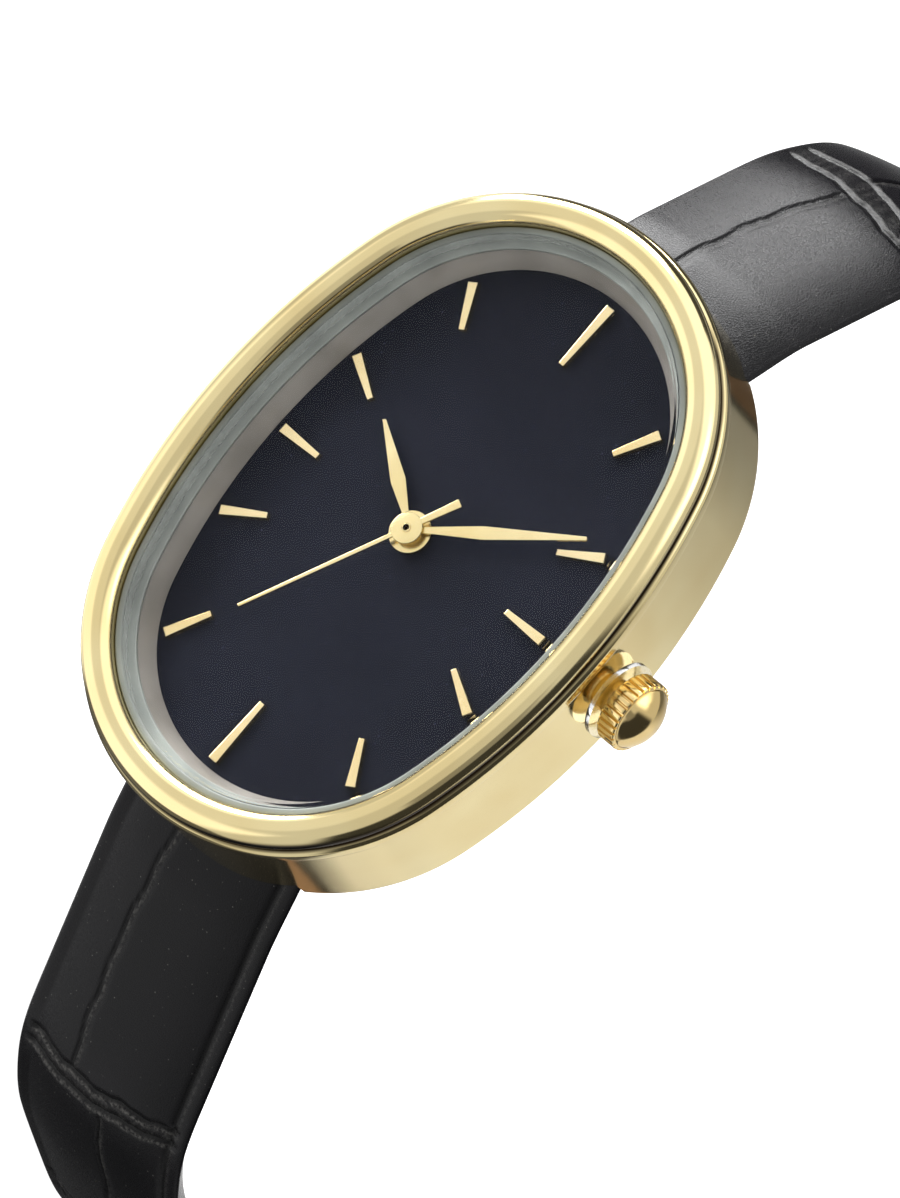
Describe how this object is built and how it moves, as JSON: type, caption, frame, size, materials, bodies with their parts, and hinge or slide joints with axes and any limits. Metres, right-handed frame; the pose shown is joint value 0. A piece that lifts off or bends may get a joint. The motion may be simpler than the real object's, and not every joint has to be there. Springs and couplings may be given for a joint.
{
  "type": "oval wristwatch",
  "caption": "Oval dress watch with a polished gold case, dark dial, applied markers, three slim hands and a side crown, standing on its open black leather strap.",
  "frame": {"origin": "Centre of the case back's flat outer face, on the axis of the hands.", "axes": "+X points to the crown at three, +Y to twelve, +Z out through the dial."},
  "size_m": [0.0294, 0.0701, 0.0849],
  "materials": {
    "polished_gold_case": "polished pale gold plating",
    "brushed_back_steel": "fine circular brushing",
    "crown_gold": "polished pale gold plating",
    "crystal_glass": "clear and flat",
    "seal_rubber": "soft moulded ring",
    "dial_lacquer": "dark lacquer with a faint grain",
    "rehaut_grey": "satin grey",
    "hand_gold": "polished",
    "marker_gold": "polished facets",
    "clear_plastic": "clear moulding",
    "turned_brass": "turned and lacquered",
    "moulded_wheel": "moulded wheel with a steel arbor",
    "plated_movement": "nickel plated, straight grained",
    "polished_steel": "polished",
    "bar_steel": "plain turned steel",
    "holder_plastic": "pale moulding",
    "cell_steel": "plated steel can",
    "copper_wire": "enamelled copper winding",
    "soft_iron": "stamped soft iron",
    "circuit_green": "solder mask with a black chip cap",
    "can_metal": "drawn tin-plated can",
    "black_leather": "padded black calf with an embossed grain",
    "lining_leather": "plain smooth lining",
    "buckle_gold": "polished pale gold plating"
  },
  "bodies": {
    "watch": {"case_body": "polished_gold_case", "case_back": "brushed_back_steel", "case_back_gasket": "seal_rubber", "bezel": "polished_gold_case", "crystal": "crystal_glass", "crystal_gasket": "seal_rubber", "rehaut_ring": "rehaut_grey", "dial": "dial_lacquer", "long_hour_markers": "marker_gold", "short_hour_markers": "marker_gold", "crown_tube": "turned_brass", "crown_spacer": "clear_plastic", "main_plate": "plated_movement", "train_bridge": "plated_movement", "bridge_screws": "polished_steel", "battery": "cell_steel", "battery_contact": "polished_steel", "coil": "copper_wire", "stator": "soft_iron", "circuit_board": "circuit_green", "quartz_can": "can_metal", "setting_lever": "polished_steel", "movement_holder": "holder_plastic", "short_strap": "black_leather", "short_strap_lining": "lining_leather", "long_strap": "black_leather", "long_strap_lining": "lining_leather", "spring_bar_twelve": "bar_steel", "spring_bar_six": "bar_steel", "fixed_keeper": "black_leather"},
    "seconds": {"seconds_hand": "hand_gold", "fourth_wheel": "turned_brass"},
    "third": {"third_wheel": "turned_brass"},
    "centre": {"centre_wheel": "turned_brass"},
    "intermediate": {"intermediate_wheel": "moulded_wheel"},
    "stepper": {"rotor": "moulded_wheel"},
    "minutes": {"minute_hand": "hand_gold", "cannon_pinion": "turned_brass"},
    "motion": {"minute_wheel": "turned_brass"},
    "hours": {"hour_hand": "hand_gold", "hour_wheel": "turned_brass"},
    "setting": {"setting_pinion": "polished_steel"},
    "crown_and_stem": {"crown": "crown_gold", "crown_gasket": "seal_rubber", "winding_stem": "polished_steel"},
    "buckle": {"buckle_frame": "buckle_gold", "buckle_pin": "buckle_gold"},
    "tongue": {"buckle_tongue": "buckle_gold"},
    "keeper": {"free_keeper": "black_leather"}
  },
  "joints": [
    {"name": "seconds_turn", "type": "hinge", "parent": "watch", "child": "seconds", "pos_m": [0, 0, 0.00533], "axis": [0, 0, -1], "continuous": true},
    {"name": "third_turn", "type": "hinge", "parent": "watch", "child": "third", "pos_m": [-0.00178, 0.00025, 0.003], "axis": [0, 0, -1], "continuous": true},
    {"name": "centre_turn", "type": "hinge", "parent": "watch", "child": "centre", "pos_m": [0, 0, 0.0034], "axis": [0, 0, -1], "continuous": true},
    {"name": "intermediate_turn", "type": "hinge", "parent": "watch", "child": "intermediate", "pos_m": [0.0009, 0.00156, 0.003], "axis": [0, 0, -1], "continuous": true},
    {"name": "rotor_turn", "type": "hinge", "parent": "watch", "child": "stepper", "pos_m": [0.00125, 0.0032, 0.0026], "axis": [0, 0, -1], "continuous": true},
    {"name": "minutes_turn", "type": "hinge", "parent": "watch", "child": "minutes", "pos_m": [0, 0, 0.00533], "axis": [0, 0, -1], "continuous": true},
    {"name": "motion_turn", "type": "hinge", "parent": "watch", "child": "motion", "pos_m": [0.00203, 0.00074, 0.0043], "axis": [0, 0, -1], "continuous": true},
    {"name": "hours_turn", "type": "hinge", "parent": "watch", "child": "hours", "pos_m": [0, 0, 0.00533], "axis": [0, 0, -1], "continuous": true},
    {"name": "crown_turn", "type": "hinge", "parent": "watch", "child": "setting", "pos_m": [0.0056, 0.00034, 0.00326], "axis": [1, 0, 0], "continuous": true},
    {"name": "crown_pull", "type": "slide", "parent": "setting", "child": "crown_and_stem", "axis": [1, 0, 0], "range_m": [0, 0.0008]},
    {"name": "buckle_swing", "type": "hinge", "parent": "watch", "child": "buckle", "pos_m": [0, 0.02993, -0.0665], "axis": [1, 0, 0], "range_deg": [-40, 25]},
    {"name": "tongue_swing", "type": "hinge", "parent": "buckle", "child": "tongue", "pos_m": [0, 0.02993, -0.0665], "axis": [1, 0, 0], "range_deg": [0, 35]},
    {"name": "keeper_slide", "type": "slide", "parent": "watch", "child": "keeper", "axis": [0, 0, 1], "range_m": [-0.0026, 0.004]}
  ],
  "couplings": [
    {"joint": "third_turn", "follows": "seconds_turn", "ratio": -0.13333},
    {"joint": "centre_turn", "follows": "seconds_turn", "ratio": 0.016667},
    {"joint": "intermediate_turn", "follows": "seconds_turn", "ratio": -5},
    {"joint": "rotor_turn", "follows": "seconds_turn", "ratio": 30},
    {"joint": "motion_turn", "follows": "minutes_turn", "ratio": -0.33333},
    {"joint": "hours_turn", "follows": "minutes_turn", "ratio": 0.083333}
  ]
}
